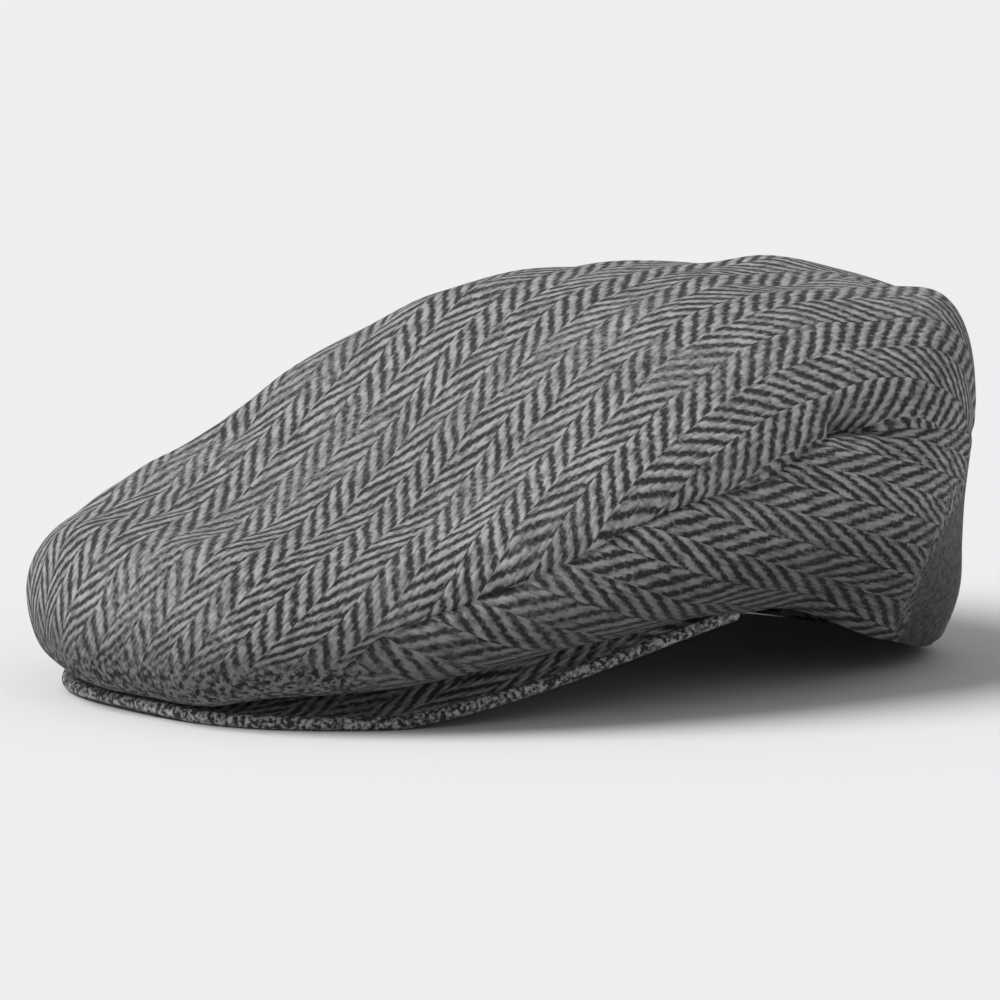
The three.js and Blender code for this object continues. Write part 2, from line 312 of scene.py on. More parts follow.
@dataclass(frozen=True)
class CrownShape:
    """The crown's surface: an angle round the cap and a level from the head line to the pole.

    Near the crest the heights are taken from one fitted patch, from crest_margin below its start,
    with powers of x and y below crest_powers. The probes are the small steps that give normals.
    """

    rings: tuple[Ring, ...] = RINGS
    folds: tuple[Fold, ...] = FOLDS
    softness: Softness = field(default_factory=Softness)
    relief: SeamRelief = field(default_factory=SeamRelief)
    crest_start: float = 5.7
    crest_end: float = 6.5
    crest_margin: float = 0.8
    crest_powers: int = 5
    level_probe: float = 0.02
    angle_probe: float = 0.2
    pole_gap: float = 0.001

    def ring_points(self, ring: Ring, angle: np.ndarray) -> np.ndarray:
        """Give the points of one ring at the angles."""
        x, y = plan_point(
            angle,
            ring.side * HALF_WIDTH,
            ring.front * FRONT_REACH,
            ring.back * BACK_REACH,
            ring.square_front,
            ring.square_back,
        )
        height = CROWN_HEIGHT * smooth_value(STATIONS, ring.heights, folded_angle(angle))
        return np.stack([x, y, height], -1)

    def rib_controls(self, angle: np.ndarray) -> np.ndarray:
        """Give the points that a rib runs through, over the pole to the opposite ring."""
        points = [self.ring_points(ring, angle) for ring in self.rings]
        pole = np.array([0, POLE_BACK * BACK_REACH, POLE_HEIGHT * CROWN_HEIGHT])
        points.append(np.broadcast_to(pole, points[0].shape))
        points.append(self.ring_points(self.rings[-1], angle + HALF_TURN))
        points.insert(0, 2 * points[0] - points[1])
        points.append(2 * points[-1] - points[-2])
        return np.stack(points, -2)

    def smooth_point(self, angle: np.ndarray, level: np.ndarray) -> np.ndarray:
        """Give points of the crown before its folds.

        Each rib is a curve through its rings. Its knots grow with the root of the spans, which
        keeps it free of loops.

        Args:
            angle: Degrees from the front.
            level: The ring counted from the head line, with shares of a ring between.

        Returns:
            Points in millimetres.
        """
        angle, level = np.broadcast_arrays(np.asarray(angle, float), np.asarray(level, float))
        controls = self.rib_controls(angle)
        row = np.clip(np.floor(level).astype(int), 0, int(TOP_LEVEL))
        share = (level - row)[..., None]
        near = [
            np.take_along_axis(controls, (row + k)[..., None, None].repeat(3, -1), -2)[..., 0, :]
            for k in range(4)
        ]
        knots = [
            np.sqrt(np.maximum(np.linalg.norm(end - start, axis=-1, keepdims=True), SHORTEST_SPAN))
            for start, end in zip(near, near[1:])
        ]
        before, here, after = knots
        chord = (near[2] - near[1]) / here
        leave = ((near[1] - near[0]) / before - (near[2] - near[0]) / (before + here) + chord) * here
        arrive = (chord - (near[3] - near[1]) / (here + after) + (near[3] - near[2]) / after) * here
        square = -3 * near[1] + 3 * near[2] - 2 * leave - arrive
        cube = 2 * near[1] - 2 * near[2] + leave + arrive
        return near[1] + leave * share + square * share**2 + cube * share**3

    def normal(self, angle: np.ndarray, level: np.ndarray) -> np.ndarray:
        """Give the outward direction at each place of the crown."""
        angle, level = np.broadcast_arrays(np.asarray(angle, float), np.asarray(level, float))
        turn, climb = self.angle_probe, self.level_probe
        inner = np.minimum(level, TOP_LEVEL - self.pole_gap)
        around = self.smooth_point(angle + turn, inner) - self.smooth_point(angle - turn, inner)
        low = np.maximum(inner - climb, HEAD_LEVEL)
        upward = self.smooth_point(angle, inner + climb) - self.smooth_point(angle, low)
        normal = unit(np.cross(around, upward))
        normal[level >= TOP_LEVEL] = (0, 0, 1)
        return normal

    def fold_lift(self, points: np.ndarray) -> np.ndarray:
        """Give the lift of the folds at each point."""
        total = np.zeros(points.shape[:-1])
        for fold in self.folds:
            start = self.smooth_point(*fold.start)
            run = self.smooth_point(*fold.end) - start
            share = np.clip(((points - start) @ run) / (run @ run), 0, 1)
            distance = np.linalg.norm(points - start - share[..., None] * run, axis=-1)
            total += fold.lift * bell(distance, fold.reach)
        return total

    def seam_level(self, angle: np.ndarray) -> np.ndarray:
        """Give the level of the top seam at each angle."""
        slope = (SEAM_LEVELS[1] - SEAM_LEVELS[0]) / (SEAM_ANGLES[1] - SEAM_ANGLES[0])
        return smooth_value(SEAM_ANGLES, SEAM_LEVELS, np.maximum(folded_angle(angle), CORNER_ANGLE), slope)

    def crest(self, points: np.ndarray, level: np.ndarray) -> np.ndarray:
        """Round off the crest, so that the ribs meet there without a star of creases.

        Args:
            points: Points of the smooth crown.
            level: Their levels.

        Returns:
            The points with their heights near the pole taken from one smooth patch.
        """
        used = (level > self.crest_start - self.crest_margin) & (level < TOP_LEVEL)
        if not used.any():
            return points
        x = points[..., 0] / HALF_WIDTH
        y = points[..., 1] / HALF_WIDTH
        powers = [(i, j) for i in range(self.crest_powers) for j in range(self.crest_powers - i)]
        terms = np.stack([x**i * y**j for i, j in powers], -1)
        fitted, *_ = np.linalg.lstsq(terms[used], points[..., 2][used], rcond=None)
        share = smooth_step(self.crest_start, self.crest_end, level)
        rounded = points.copy()
        rounded[..., 2] = points[..., 2] * (1 - share) + (terms @ fitted) * share
        return rounded

    def surface(self, angle: np.ndarray, level: np.ndarray, depth: float, extra: np.ndarray) -> np.ndarray:
        """Give points of the dressed cloth, in millimetres.

        Args:
            angle: Degrees from the front, one for each point.
            level: The level of each point.
            depth: How far under the outer face the points lie.
            extra: Lift for each point besides the folds.

        Returns:
            Points that lie on or above the table.
        """
        base = self.smooth_point(angle, level)
        lift = self.fold_lift(base) + self.softness.lift(base) + extra - depth
        points = self.crest(base, level) + self.normal(angle, level) * lift[..., None]
        points[..., 2] = np.maximum(points[..., 2], PRESSED + (PRESSED_GAP if depth > 0 else 0.0))
        return points


@dataclass(frozen=True)
class Placing:
    """Where the head's middle lies in the CAD frame."""

    forward: float

    @classmethod
    def from_frame(cls, low: Vector) -> "Placing":
        """Set the placing from the lowest corner of the CAD model's box."""
        return cls(forward=low.y / MILLIMETRE + FRONT_REACH)

    def metres(self, points: np.ndarray) -> np.ndarray:
        """Turn millimetres round the head into metres of the frame."""
        return (points + np.array([0, self.forward, -PRESSED])) * MILLIMETRE


@dataclass
class Skin:
    """A closed shell of cloth: an outer and an inner grid of points, joined at their borders.

    A grid is made of columns that climb the cap. A shell that goes all the way round has no end
    columns, and all of its columns meet at the pole. The lays hold, for each point of a grid,
    columns and repeats of the weave and the values of MARKS.
    """

    name: str
    outer: np.ndarray
    inner: np.ndarray
    outer_lay: np.ndarray
    inner_lay: np.ndarray
    all_round: bool = False

    def build(self, placing: Placing) -> bpy.types.Object:
        """Build the shell as one mesh whose UV map holds columns and repeats of the weave.

        Args:
            placing: How the head's own millimetres lie in the frame.

        Returns:
            The new object, at the origin.
        """
        columns = self.outer.shape[0]
        outer_rows = self.outer.shape[1]
        inner_rows = self.inner.shape[1]
        outer_index = np.arange(columns * outer_rows).reshape(columns, outer_rows)
        inner_index = columns * outer_rows + np.arange(columns * inner_rows).reshape(columns, inner_rows)
        if self.all_round:
            outer_index[:, -1] = outer_index[0, -1]
            inner_index[:, -1] = inner_index[0, -1]
        faces: list[tuple[int, ...]] = []
        spans = columns if self.all_round else columns - 1
        for column in range(spans):
            beside = (column + 1) % columns
            faces += self.strip(outer_index[column], outer_index[beside])
            faces += self.strip(inner_index[beside], inner_index[column])
            faces.append(self.border(outer_index[:, 0], inner_index[:, 0], beside, column))
            if not self.all_round:
                faces.append(self.border(outer_index[:, -1], inner_index[:, -1], column, beside))
        if not self.all_round:
            faces += self.end_wall(outer_index[0], inner_index[0], True)
            faces += self.end_wall(outer_index[-1], inner_index[-1], False)
        points = np.concatenate([self.outer.reshape(-1, 3), self.inner.reshape(-1, 3)])
        width = self.outer_lay.shape[-1]
        lay = np.concatenate([self.outer_lay.reshape(-1, width), self.inner_lay.reshape(-1, width)])
        return mesh_object(self.name, placing.metres(points), faces, lay)

    @staticmethod
    def border(outer: np.ndarray, inner: np.ndarray, start: int, end: int) -> tuple[int, ...]:
        """Give the face that joins the two grids along a border, from one column to the next."""
        return int(outer[start]), int(outer[end]), int(inner[end]), int(inner[start])

    @staticmethod
    def strip(first: np.ndarray, second: np.ndarray) -> list[tuple[int, ...]]:
        """Give the faces between two columns, with triangles where they meet at the pole."""
        faces = []
        for row in range(len(first) - 1):
            corners = (int(first[row]), int(second[row]), int(second[row + 1]), int(first[row + 1]))
            faces.append(tuple(dict.fromkeys(corners)))
        return faces

    @staticmethod
    def end_wall(outer: np.ndarray, inner: np.ndarray, at_start: bool) -> list[tuple[int, ...]]:
        """Close one end of an open shell between its outer and inner columns."""
        places = np.linspace(0, len(outer) - 1, len(inner)).round().astype(int)
        faces = []
        for row, (low, high) in enumerate(zip(places, places[1:])):
            rim = [int(index) for index in outer[low : high + 1]]
            face = [int(inner[row]), *rim, int(inner[row + 1])]
            faces.append(tuple(face[::-1] if at_start else face))
        return faces


# The UV map and the point attributes that the cloth's materials read: felting, and the painted shade that
# darkens the colour
WEAVE_MAP = "cloth"
MARKS = ("felting", "painted_shade_brightness")


def linked(name: str, data: bpy.types.ID) -> bpy.types.Object:
    """Put data into the scene as a new object at the origin."""
    piece = bpy.data.objects.new(name, data)
    bpy.context.scene.collection.objects.link(piece)
    return piece


def shade_smooth(mesh: bpy.types.Mesh) -> None:
    """Shade every face of a mesh smooth."""
    mesh.polygons.foreach_set("use_smooth", [True] * len(mesh.polygons))


def mesh_object(name: str, points: np.ndarray, faces: list, lay: np.ndarray) -> bpy.types.Object:
    """Make a smooth-shaded mesh object at the origin.

    Args:
        name: The piece's name.
        points: Its points, in metres.
        faces: The corners of each face.
        lay: Columns, repeats, felting, and the share of tone that the painted shade leaves, at each point.

    Returns:
        The linked object, without unused points.
    """
    mesh = bpy.data.meshes.new(name)
    used = np.unique(np.fromiter((index for face in faces for index in face), dtype=int))
    renumbered = np.full(len(points), -1)
    renumbered[used] = np.arange(len(used))
    tidy = [tuple(int(renumbered[index]) for index in face) for face in faces if len(face) > 2]
    mesh.from_pydata([tuple(point) for point in points[used]], [], tidy)
    corners = np.empty(len(mesh.loops), dtype=np.int32)
    mesh.loops.foreach_get("vertex_index", corners)
    layer = mesh.uv_layers.new(name=WEAVE_MAP)
    layer.data.foreach_set("uv", lay[used][corners][:, :2].astype(np.float32).ravel())
    for column, mark in enumerate(MARKS, start=2):
        values = mesh.attributes.new(mark, "FLOAT", "POINT")
        values.data.foreach_set("value", lay[used][:, column].astype(np.float32))
    shade_smooth(mesh)
    mesh.update()
    return linked(name, mesh)


class NodePen:
    """Writes the nodes of a tree in a few words each.

    The Mix node has sockets of one name for each kind of value, so those for colours are numbered.
    """

    FIRST_COLOUR = 6
    SECOND_COLOUR = 7
    MIXED_COLOUR = 2

    def __init__(self, tree: bpy.types.NodeTree) -> None:
        """Start writing in a tree."""
        self.tree = tree

    def sockets(self, way: str, kind: str, *names: str) -> None:
        """Give a group's tree named inputs or outputs of one kind."""
        for name in names:
            self.tree.interface.new_socket(name, in_out=way, socket_type=kind)

    def add(self, kind: str, **settings: object) -> bpy.types.Node:
        """Add a node and set its own properties."""
        node = self.tree.nodes.new(kind)
        for name, value in settings.items():
            setattr(node, name, value)
        return node

    def feed(self, socket: bpy.types.NodeSocket, value: object) -> None:
        """Link a socket to an output, or set its own value."""
        if isinstance(value, bpy.types.NodeSocket):
            self.tree.links.new(value, socket)
        else:
            socket.default_value = value

    def run(self, kind: str, inputs: dict[str, object], **settings: object) -> bpy.types.NodeSocket:
        """Add a node, feed its named inputs and give its first output."""
        node = self.add(kind, **settings)
        for name, value in inputs.items():
            self.feed(node.inputs[name], value)
        return node.outputs[0]

    def math(self, operation: str, *values: object) -> bpy.types.NodeSocket:
        """Add a Math node and give its result."""
        node = self.add("ShaderNodeMath", operation=operation)
        for socket, value in zip(node.inputs, values):
            self.feed(socket, value)
        return node.outputs[0]

    def centred(self, value: object, width: float) -> bpy.types.NodeSocket:
        """Turn a value between 0 and 1 into one about zero, width apart from end to end."""
        return self.math("MULTIPLY_ADD", value, width, -width / 2)

    def blend(self, share: object, first: object, second: object) -> bpy.types.NodeSocket:
        """Mix two colours."""
        node = self.add("ShaderNodeMix", data_type="RGBA")
        self.feed(node.inputs["Factor"], share)
        self.feed(node.inputs[self.FIRST_COLOUR], first)
        self.feed(node.inputs[self.SECOND_COLOUR], second)
        return node.outputs[self.MIXED_COLOUR]

    def step(self, value: object, low: object, high: object) -> bpy.types.NodeSocket:
        """Rise smoothly from 0 to 1 between two values."""
        inputs = {"Value": value, "From Min": low, "From Max": high}
        return self.run("ShaderNodeMapRange", inputs, interpolation_type="SMOOTHSTEP")

    def noise(self, place: object, scale: object, detail: float = 2.0) -> bpy.types.NodeSocket:
        """Add a noise texture and give its value."""
        return self.run("ShaderNodeTexNoise", {"Vector": place, "Scale": scale, "Detail": detail})


@dataclass(frozen=True)
class Herringbone:
    """The weave: columns of slanting strokes whose slant turns over from column to column.

    Sway and drift are slow bends of the strokes, in columns and repeats. Beads are the short
    lengths of yarn seen between two crossings, so many to a column, and uneven in their places.
    The strokes' edges are made ragged by beads and fuzz. The raised values are the heights of the
    strokes, knots, beads, fuzz and hairs against each other. Grains are noise scales.
    """

    sway: float = 0.16
    sway_grain: float = 95.0
    drift: float = 0.3
    drift_grain: float = 160.0
    beads: float = 5.5
    bead_depth: float = 0.24
    bead_slip: float = 1.6
    bead_stretch: float = 1.7
    bead_change: float = 7.3
    bead_ragged: float = 1.5
    fuzz_grain: float = 820.0
    fuzz_detail: float = 1.0
    fuzz_ragged: float = 2.4
    hair_grain: float = 3200.0
    raised_stroke: float = 0.28
    raised_knot: float = 0.12
    raised_bead: float = 0.4
    raised_fuzz: float = 0.45
    raised_hair: float = 0.3

    def group(self) -> bpy.types.ShaderNodeTree:
        """Build the shader group that puts out the weave's masks and height.

        Place is read in columns across and in repeats along the cloth, and Slant is how many
        repeats a stroke climbs on its way over one column. The strokes of one column meet the
        gaps of the next, as in a broken twill.

        Returns:
            A group with Light, Bead and Height as outputs.
        """
        tree = bpy.data.node_groups.new("herringbone_weave", "ShaderNodeTree")
        pen = NodePen(tree)
        pen.sockets("INPUT", "NodeSocketVector", "Place", "Surface")
        pen.sockets("INPUT", "NodeSocketFloat", "Slant", "Softness")
        pen.sockets("OUTPUT", "NodeSocketFloat", "Light", "Bead", "Height")
        given = pen.add("NodeGroupInput").outputs
        result = pen.add("NodeGroupOutput").inputs
        surface = given["Surface"]
        across, phase = self.strokes(pen, given["Place"], surface, given["Slant"])
        bead = self.bead(pen, across, phase)
        wave = pen.math("SINE", pen.math("MULTIPLY", phase, 2 * math.pi))
        slipped = pen.math("MULTIPLY_ADD", across, self.beads, pen.math("MULTIPLY", bead, self.bead_slip))
        knot = pen.math("SINE", pen.math("MULTIPLY", slipped, 2 * math.pi))
        fuzz = pen.noise(surface, self.fuzz_grain, self.fuzz_detail)
        worn = pen.math("ADD", pen.centred(bead, self.bead_ragged), pen.centred(fuzz, self.fuzz_ragged))
        ragged = pen.math("MULTIPLY_ADD", knot, self.bead_depth, worn)
        low = pen.math("MULTIPLY", given["Softness"], -1.0)
        light = pen.step(pen.math("ADD", wave, ragged), low, given["Softness"])
        hair = pen.noise(surface, self.hair_grain)
        height = pen.math("MULTIPLY", hair, self.raised_hair)
        heights = (
            (fuzz, self.raised_fuzz),
            (bead, self.raised_bead),
            (knot, self.raised_knot),
            (wave, self.raised_stroke),
        )
        for part, share in heights:
            height = pen.math("MULTIPLY_ADD", part, share, height)
        for name, value in (("Light", light), ("Bead", bead), ("Height", height)):
            pen.feed(result[name], value)
        return tree

    def strokes(
        self,
        pen: NodePen,
        place: bpy.types.NodeSocket,
        surface: bpy.types.NodeSocket,
        slant: bpy.types.NodeSocket,
    ) -> tuple[bpy.types.NodeSocket, bpy.types.NodeSocket]:
        """Give the place across the columns, and how far along its stroke's repeat each point lies."""
        split = pen.add("ShaderNodeSeparateXYZ")
        pen.feed(split.inputs[0], place)
        sway = pen.centred(pen.noise(surface, self.sway_grain), self.sway)
        across = pen.math("ADD", split.outputs["X"], sway)
        drift = pen.centred(pen.noise(surface, self.drift_grain), self.drift)
        along = pen.math("ADD", split.outputs["Y"], drift)
        climb = pen.math("MULTIPLY", pen.math("PINGPONG", across, 1.0), slant)
        odd = pen.math("PINGPONG", pen.math("FLOOR", across), 1.0)
        half_repeat = pen.math("MULTIPLY", odd, 0.5)
        return across, pen.math("ADD", pen.math("ADD", along, climb), half_repeat)

    def bead(
        self, pen: NodePen, across: bpy.types.NodeSocket, phase: bpy.types.NodeSocket
    ) -> bpy.types.NodeSocket:
        """Give the unevenness of the beads, which changes from column to column."""
        column = pen.math("FLOOR", across)
        place = {
            "X": pen.math("MULTIPLY", phase, self.bead_stretch),
            "Y": pen.math("MULTIPLY", across, self.beads),
            "Z": pen.math("MULTIPLY", column, self.bead_change),
        }
        return pen.noise(pen.run("ShaderNodeCombineXYZ", place), 1.0)


@dataclass(frozen=True)
class Felting:
    """How felt hides the weave, first as nubs of both yarns and, where it is full, as an even grey.

    The tone is the share of light yarn in the felt, and evening is how much of the nubs and of
    that tone is lost where the felt is full. Soft places are where use has blurred the weave.
    """

    full_from: float = 0.75
    nub_grain: float = 620.0
    nub_span: tuple[float, float] = (0.36, 0.64)
    nub_evening: float = 0.78
    tone: float = 0.42
    tone_evening: float = 0.15
    border_grain: float = 210.0
    border_detail: float = 3.0
    border_width: float = 0.5
    cover_span: tuple[float, float] = (0.12, 0.85)
    soft_grain: float = 30.0
    soft_span: tuple[float, float] = (0.48, 0.68)
    soft_cover: float = 0.34

    def light(
        self, pen: NodePen, surface: bpy.types.NodeSocket, felting: bpy.types.NodeSocket
    ) -> bpy.types.NodeSocket:
        """Give the share of light yarn in the felt."""
        full = pen.step(felting, self.full_from, 1.0)
        nub = pen.centred(pen.step(pen.noise(surface, self.nub_grain), *self.nub_span), 1.0)
        depth = pen.math("MULTIPLY_ADD", full, -self.nub_evening, 1.0)
        tone = pen.math("MULTIPLY_ADD", full, -self.tone_evening, self.tone)
        return pen.math("MULTIPLY_ADD", nub, depth, tone)

    def cover(
        self, pen: NodePen, surface: bpy.types.NodeSocket, felting: bpy.types.NodeSocket
    ) -> bpy.types.NodeSocket:
        """Give how much of the weave is hidden."""
        grain = pen.noise(surface, self.border_grain, self.border_detail)
        border = pen.centred(grain, self.border_width)
        covered = pen.step(pen.math("MULTIPLY_ADD", border, felting, felting), *self.cover_span)
        soft_place = pen.step(pen.noise(surface, self.soft_grain), *self.soft_span)
        return pen.math("MAXIMUM", covered, pen.math("MULTIPLY", soft_place, self.soft_cover))


@dataclass(frozen=True)
class Wool:
    """The dull face of woollen cloth: its roughness, its faint shine and its relief."""

    roughness: float
    specular: float
    sheen: float
    relief: float
    relief_strength: float

    def finish(
        self,
        shader: bpy.types.Node,
        pen: NodePen,
        colour: bpy.types.NodeSocket,
        height: bpy.types.NodeSocket,
    ) -> None:
        """Finish a material.

        Args:
            shader: The material's own shader.
            pen: The pen that writes the material's nodes.
            colour: The cloth's colour.
            height: The height of its yarns and hairs, which gives its relief.
        """
        relief = {"Strength": self.relief_strength, "Distance": self.relief, "Height": height}
        pen.feed(shader.inputs["Base Color"], colour)
        pen.feed(shader.inputs["Normal"], pen.run("ShaderNodeBump", relief))
        shader.inputs["Roughness"].default_value = self.roughness
        shader.inputs["Specular IOR Level"].default_value = self.specular
        shader.inputs["Sheen Weight"].default_value = self.sheen


def new_material(name: str) -> tuple[bpy.types.Material, bpy.types.Node, NodePen]:
    """Start a material, and give it with its shader and the pen that writes its nodes."""
    material = bpy.data.materials.new(name)
    material.use_nodes = True
    return material, material.node_tree.nodes["Principled BSDF"], NodePen(material.node_tree)


@dataclass(frozen=True)
class Tweed:
    """The woven wool: its two yarns, with lint on them, its wear, the shade painted into it and its face.

    A bead shows its light yarn by the share blotch at least, and by twice that where it is full.
    The shade of worn places changes slowly over the cloth, from worn_least up by worn_depth.
    """

    name: str
    slant: float
    light: tuple[float, float, float, float] = (0.425, 0.425, 0.43, 1.0)
    dark: tuple[float, float, float, float] = (0.035, 0.035, 0.037, 1.0)
    softness: float = 1.0
    blotch: float = 0.55
    blotch_span: tuple[float, float] = (0.3, 0.72)
    lint: float = 0.3
    lint_grain: float = 1500.0
    lint_detail: float = 3.0
    lint_span: tuple[float, float] = (0.56, 0.78)
    worn_grain: float = 26.0
    worn_span: tuple[float, float] = (0.25, 0.75)
    worn_least: float = 0.93
    worn_depth: float = 0.14
    felt: Felting = field(default_factory=Felting)
    face: Wool = Wool(0.92, specular=0.1, sheen=0.08, relief=0.8 * MILLIMETRE, relief_strength=0.8)

    def material(self, weave: bpy.types.ShaderNodeTree) -> bpy.types.Material:
        """Build the cloth's material from the weave group.

        Args:
            weave: The herringbone shader group.

        Returns:
            A material that reads the piece's own UV map and marks, and Object coordinates for its fuzz.
        """
        material, shader, pen = new_material(self.name)
        surface = pen.add("ShaderNodeTexCoord").outputs["Object"]
        felting, painted_shade_brightness = (
            pen.add("ShaderNodeAttribute", attribute_name=mark).outputs["Fac"] for mark in MARKS
        )
        pattern = pen.add("ShaderNodeGroup", node_tree=weave)
        pen.feed(pattern.inputs["Place"], pen.add("ShaderNodeUVMap", uv_map=WEAVE_MAP).outputs["UV"])
        pen.feed(pattern.inputs["Surface"], surface)
        pattern.inputs["Slant"].default_value = self.slant
        pattern.inputs["Softness"].default_value = self.softness
        filled = pen.step(pattern.outputs["Bead"], *self.blotch_span)
        blotch = pen.math("MULTIPLY_ADD", filled, self.blotch, self.blotch)
        share = pen.math("MULTIPLY", pattern.outputs["Light"], blotch)
        specks = pen.step(pen.noise(surface, self.lint_grain, self.lint_detail), *self.lint_span)
        share = pen.math("MAXIMUM", share, pen.math("MULTIPLY", specks, self.lint))
        woven = pen.blend(share, self.dark, self.light)
        felted = pen.blend(self.felt.light(pen, surface, felting), self.dark, self.light)
        worn = pen.step(pen.noise(surface, self.worn_grain), *self.worn_span)
        worn = pen.math("MULTIPLY_ADD", worn, self.worn_depth, self.worn_least)
        both = pen.blend(self.felt.cover(pen, surface, felting), woven, felted)
        # Painted shade: the colour is darkened here by the painted shade attribute, along with the slow
        # wear
        shade = {"Value": pen.math("MULTIPLY", worn, painted_shade_brightness), "Color": both}
        colour = pen.run("ShaderNodeHueSaturation", shade)
        self.face.finish(shader, pen, colour, pattern.outputs["Height"])
        return material


@dataclass(frozen=True)
class WeaveLay:
    """How the weave lies on a panel, as slow bends of its columns and of its repeats.

    The rows across and along hold the shares of x, y, x squared, x times y and y squared, with x
    and y in tenths of a metre on the flat panel, and give a number of repeats. The shares with x
    squared and x times y grow only where x is above zero. Gather is what is added for each tenth
    of a metre past the roll, where the cloth is drawn together, and it sets in between the two
    values of x in gathered. Slant is how many repeats a stroke climbs over one column.
    """

    across: tuple[float, ...]
    along: tuple[float, ...]
    gather: tuple[float, float] = (0.0, 0.0)
    gathered: tuple[float, float] = (-0.7, -0.1)
    roll: float = 1.69
    roll_softness: float = 0.08
    softness: float = 0.12
    slant: float = 2.05
    unit: float = 100.0

    def lay(self, flat: np.ndarray) -> np.ndarray:
        """Give places in the weave, in columns and repeats.

        Args:
            flat: Places on the flat panel, in millimetres.

        Returns:
            Columns across and repeats along.
        """
        x = flat[..., 0] / self.unit
        y = flat[..., 1] / self.unit
        near = soft_ramp(x, self.softness)
        terms = np.stack([x, y, near * near, near * y, y * y], -1)
        past = soft_ramp(np.hypot(x, y) - self.roll, self.roll_softness) * smooth_step(*self.gathered, x)
        columns = terms @ np.array(self.across) + past * self.gather[0]
        repeats = terms @ np.array(self.along) + past * self.gather[1]
        return np.stack([columns / self.slant, repeats], -1)


TOP_LAY = WeaveLay((15.3, 2.6, 1.3, -2.0, -3.9), (2.3, 15.8, -1.9, 2.8, 2.0), (34.0, -13.5))
SIDE_LAY = WeaveLay((9.4, 13.8, -0.8, 1.7, 12.6), (13.2, -11.7, -0.8, 3.3, 6.7))


@dataclass(frozen=True)
class WearAndPaintedShade:
    """Where use has felted the cloth and blurred its weave, and where shade is painted into it.

    The patch on the left side is an oval, fading at patch_edge of its reach and once more between
    the two places of patch_end. Its places are millimetres towards the back, then levels. The roll
    is felted up to roll_level and for roll_fade degrees past its corner. Shade is painted low on the
    crown at the front and sides, under the roll and above the peak, and it fades out between its
    levels and, towards the back, between its angles.
    """

    patch_centre: tuple[float, float] = (222.0, 1.2)
    patch_reach: tuple[float, float] = (45.0, 2.4)
    patch_edge: tuple[float, float] = (0.78, 1.06)
    patch_end: tuple[float, float] = (214.0, 262.0)
    wander: Softness = Softness(waves=14, shortest=22.0, longest=60.0, height=3.2, seed=4)
    roll_felt: float = 0.75
    roll_level: tuple[float, float] = (2.1, 2.9)
    roll_fade: float = 20.0
    # Painted shade: how much darker the low crown is painted, and the levels and angles where it fades
    painted_shade_depth: float = 0.56
    painted_shade_level: tuple[float, float] = (2.0, 3.3)
    painted_shade_angle: tuple[float, float] = (85.0, 160.0)

    def marks(
        self, points: np.ndarray, angle: np.ndarray, level: np.ndarray, back: np.ndarray
    ) -> np.ndarray:
        """Give how felted the cloth is at each point, and how far painted shade darkens it.

        Args:
            points: The points, in millimetres.
            angle: Degrees from the front, towards the wearer's left.
            level: The level of each point.
            back: Millimetres along a side panel towards the back, zero on the top panel.

        Returns:
            The felting, from 0 to 1, and the share of tone that the painted shade leaves, up to 1.
        """
        turned = folded_angle(angle)
        on_left = angle > 0
        place = (back + self.wander.lift(points)) * on_left
        across = (place - self.patch_centre[0]) / self.patch_reach[0]
        upward = (level - self.patch_centre[1]) / self.patch_reach[1]
        patch = 1 - smooth_step(*self.patch_edge, np.hypot(across, upward))
        patch = patch * (1 - smooth_step(*self.patch_end, place))
        front = 1 - smooth_step(CORNER_ANGLE, CORNER_ANGLE + self.roll_fade, turned)
        under = self.roll_felt * front * (1 - smooth_step(*self.roll_level, level))
        felt = np.maximum(patch, under)
        # Painted shade: the cloth is darkened low on the crown, towards the front and sides
        near_front = 1 - smooth_step(*self.painted_shade_angle, turned)
        painted_shade_factor = 1 - self.painted_shade_depth * near_front * (1 - smooth_step(*self.painted_shade_level, level))
        return np.stack([felt, painted_shade_factor], -1)


def flat_about_pole(points: np.ndarray) -> np.ndarray:
    """Lay the crown flat about its pole, keeping the lengths along its ribs.

    Args:
        points: Columns of points that each end at the pole.

    Returns:
        Flat places in millimetres, the pole at zero.
    """
    steps = np.linalg.norm(np.diff(points, axis=1), axis=-1)
    lengths = np.cumsum(steps[:, ::-1], axis=1)[:, ::-1]
    lengths = np.concatenate([lengths, np.zeros((len(points), 1))], axis=1)
    heading = unit(points[..., :2] - points[:, -1:, :2])
    return heading * lengths[..., None]


def column_angles(start: float, end: float, coarse: float, fine: float) -> np.ndarray:
    """Give rising angles between two ends, closer together where the seam climbs at its corner.

    Args:
        start: The first angle, in degrees from the front.
        end: The last angle.
        coarse: The step away from the corner.
        fine: The step within STEEP_SPAN.

    Returns:
        The angles, both ends included.
    """
    stops = sorted({start, end, *(stop for stop in STEEP_SPAN if start < stop < end)})
    parts = []
    for low, high in zip(stops, stops[1:]):
        step = fine if low >= STEEP_SPAN[0] and high <= STEEP_SPAN[1] else coarse
        count = max(1, round((high - low) / step))
        parts.append(np.linspace(low, high, count + 1)[:-1])
    return np.concatenate([*parts, [end]])


